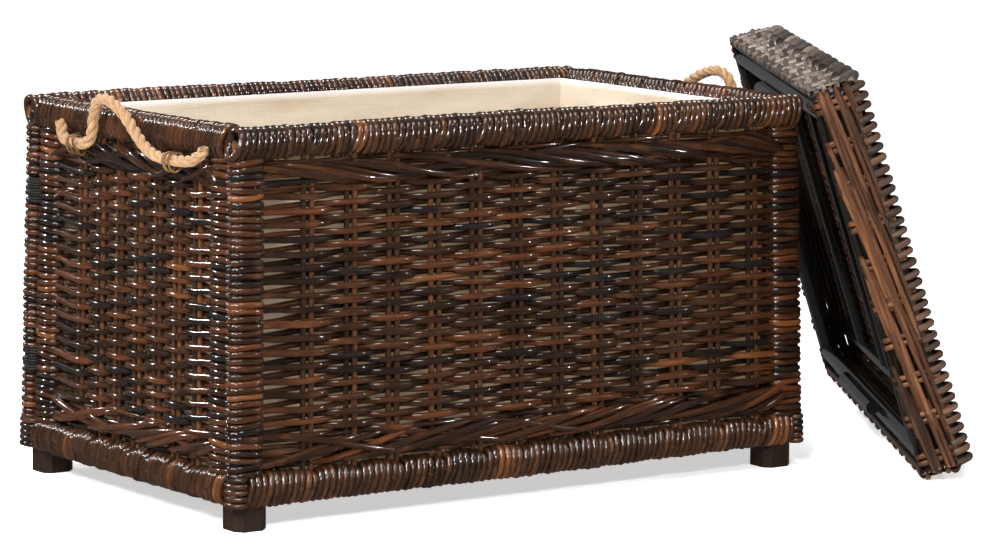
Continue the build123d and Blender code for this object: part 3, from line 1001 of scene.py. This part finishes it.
def lid_border(kind):
    """Stakes bent over the edge of the top, one after another."""
    s = LidSide(kind)
    rods = Rods()
    short = kind in SHORT_SIDES
    step, run, radius = (0.0138, 0.004, 0.0044) if short else (0.060, 0.115, 0.0062)
    n = int((s.length - (0 if short else run * 0.6)) / step)
    off = (s.length - n * step) / 2
    x = np.linspace(0, 1, 26)
    if short:
        th = -0.25 + x * 3.3
        d = -0.0035 + 0.0105 * np.cos(th)
        c = LID_D - 0.0135 + 0.0150 * np.sin(th)
    else:
        th = x ** 1.8 * 2.6
        d = -0.0025 + 0.0085 * np.cos(th)
        c = LID_D - 0.0205 + 0.0245 * np.minimum(x * 1.35, 1) + 0.002 * np.sin(th)
    for i in range(n):
        e = off + (i + 0.5) * step + run * (x - 0.5) + rng.uniform(-0.0012, 0.0012)
        e = np.clip(e, 0.003, s.length - 0.003)
        rods.add(s.at(e, d, c), radius * rng.uniform(0.9, 1.06), rng.random(), ref=s.e_dir, sides=10)
    # the rods they are bent round
    for dd, cc, rr in ((0.0005, LID_D - 0.0165, 0.0036), (-0.006, LID_D - 0.0125, 0.0046)):
        e = np.linspace(0.004, s.length - 0.004, 30)
        rods.add(s.at(e, np.full(30, dd), np.full(30, cc)), rr, 0.0, ref=s.d_dir)
    # the upper border takes the paler copy of the lid colours: painted sheen
    mat = mat_lid_upper_painted_sheen if kind == "upper" else mat_lid_edge
    build_lid_piece(rods, f"lid_{kind}_border_braid", mat, f"lid_{kind}_border")


def lid_top():
    rods = Rods()
    margin, row = 0.015, 0.0066
    middle = LID_D - 0.002 - 0.005
    n_pairs = int(round((LID_L - 2 * margin) / LID_PITCH))
    pitch = (LID_L - 2 * margin) / n_pairs
    b = np.linspace(margin, LID_W - margin, 50)
    for k in range(n_pairs):
        a0 = margin + pitch * (k + 0.5)
        for q in (-1, 1):
            pts = lid_at(np.full(50, a0 + q * 0.0042), b, np.full(50, middle))
            rods.add(pts, 0.0028, lid_tint(), ref=LN, sides=6, caps=False)
    a = np.linspace(margin, LID_L - margin, n_pairs * 8)
    for i in range(int((LID_W - 2 * margin) / row)):
        w = squared_wave(np.cos(math.pi * (a - margin - pitch / 2) / pitch + math.pi * i))
        tint = np.full(len(a), lid_tint())
        cut = rng.uniform(0.2, 0.8) * LID_L
        tint[a > cut] = lid_tint()
        b = margin + row / 2 + i * row + Noise(0.1, 0.0004)(a)
        rods.add(lid_at(a, b, middle + 0.0034 * w), 0.0037, tint, ref=LN, sides=6, caps=False)
    build_lid_piece(rods, "lid_top_mat", mat_lid, "lid_top_weave")


for kind in ("near", "far", "lower", "upper"):
    lid_side(kind)
    lid_border(kind)
lid_top()

# ---------------------------------------------------------------- CAD nodes that stay, with their finishes
FINISHES = {"pole": mat_lacquer, "cleat": mat_lacquer, "foot": mat_foot, "runner": mat_runner}
for node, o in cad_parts.items():
    if not o.hide_render:
        for word, finish in FINISHES.items():
            if word in node:
                for s in o.material_slots:
                    s.material = finish

# ---------------------------------------------------------------- floor, light
bpy.ops.mesh.primitive_plane_add(size=120, location=(0, 0, 0))
floor = bpy.context.object
floor.name = "floor"
floor_mat, _, floor_bsdf = new_material("floor_white")
floor_bsdf.inputs["Base Color"].default_value = (0.93, 0.93, 0.93, 1)
floor_bsdf.inputs["Roughness"].default_value = 0.9
floor_bsdf.inputs["Specular IOR Level"].default_value = 0.1
floor_bsdf.inputs["Emission Color"].default_value = (1, 1, 1, 1)
floor_bsdf.inputs["Emission Strength"].default_value = 0.57
floor.data.materials.append(floor_mat)
floor.visible_glossy = False  # the rods keep the dark undersides of the photo

world = bpy.data.worlds.new("studio")
bpy.context.scene.world = world
world.use_nodes = True
background = world.node_tree.nodes["Background"]
background.inputs["Color"].default_value = (1, 1, 1, 1)
background.inputs["Strength"].default_value = 0.11


def aimed(direction):
    return Vector(direction).to_track_quat("-Z", "Y").to_euler()


def area(name, loc, target, size, size_y, power):
    d = bpy.data.lights.new(name, "AREA")
    d.energy = power
    d.shape = "RECTANGLE"
    d.size = size
    d.size_y = size_y
    o = bpy.data.objects.new(name, d)
    bpy.context.scene.collection.objects.link(o)
    o.location = loc
    o.rotation_euler = aimed(Vector(target) - Vector(loc))


area("softbox_right", (2.9, -2.5, 2.0), (-0.1, -0.1, 0.25), 0.11, 0.26, 40)
area("softbox_left", (-2.9, -0.5, 1.9), (-0.4, 0, 0.25), 0.14, 0.36, 68)
area("key", (-1.75, -2.0, 1.35), (-0.45, -0.1, 0.25), 0.14, 0.3, 47)
area("softbox_rear", (-1.9, 2.6, 1.75), (-0.5, 0, 0.25), 0.13, 0.3, 32)
area("softbox_high", (-0.3, -1.5, 2.9), (0, 0.15, 0.35), 0.5, 0.5, 20)
area("softbox_top", (-0.2, 1.0, 2.6), (-0.1, 0, 0.3), 0.9, 0.6, 50)
sun_data = bpy.data.lights.new("sun", "SUN")
sun_data.energy = 1.6
sun_data.angle = math.radians(20)
sun = bpy.data.objects.new("sun", sun_data)
bpy.context.scene.collection.objects.link(sun)
sun.rotation_euler = aimed((0.6, 0.35, -1))

vs = bpy.context.scene.view_settings
vs.view_transform = "Standard"
vs.look = "None"
vs.exposure = 0.0
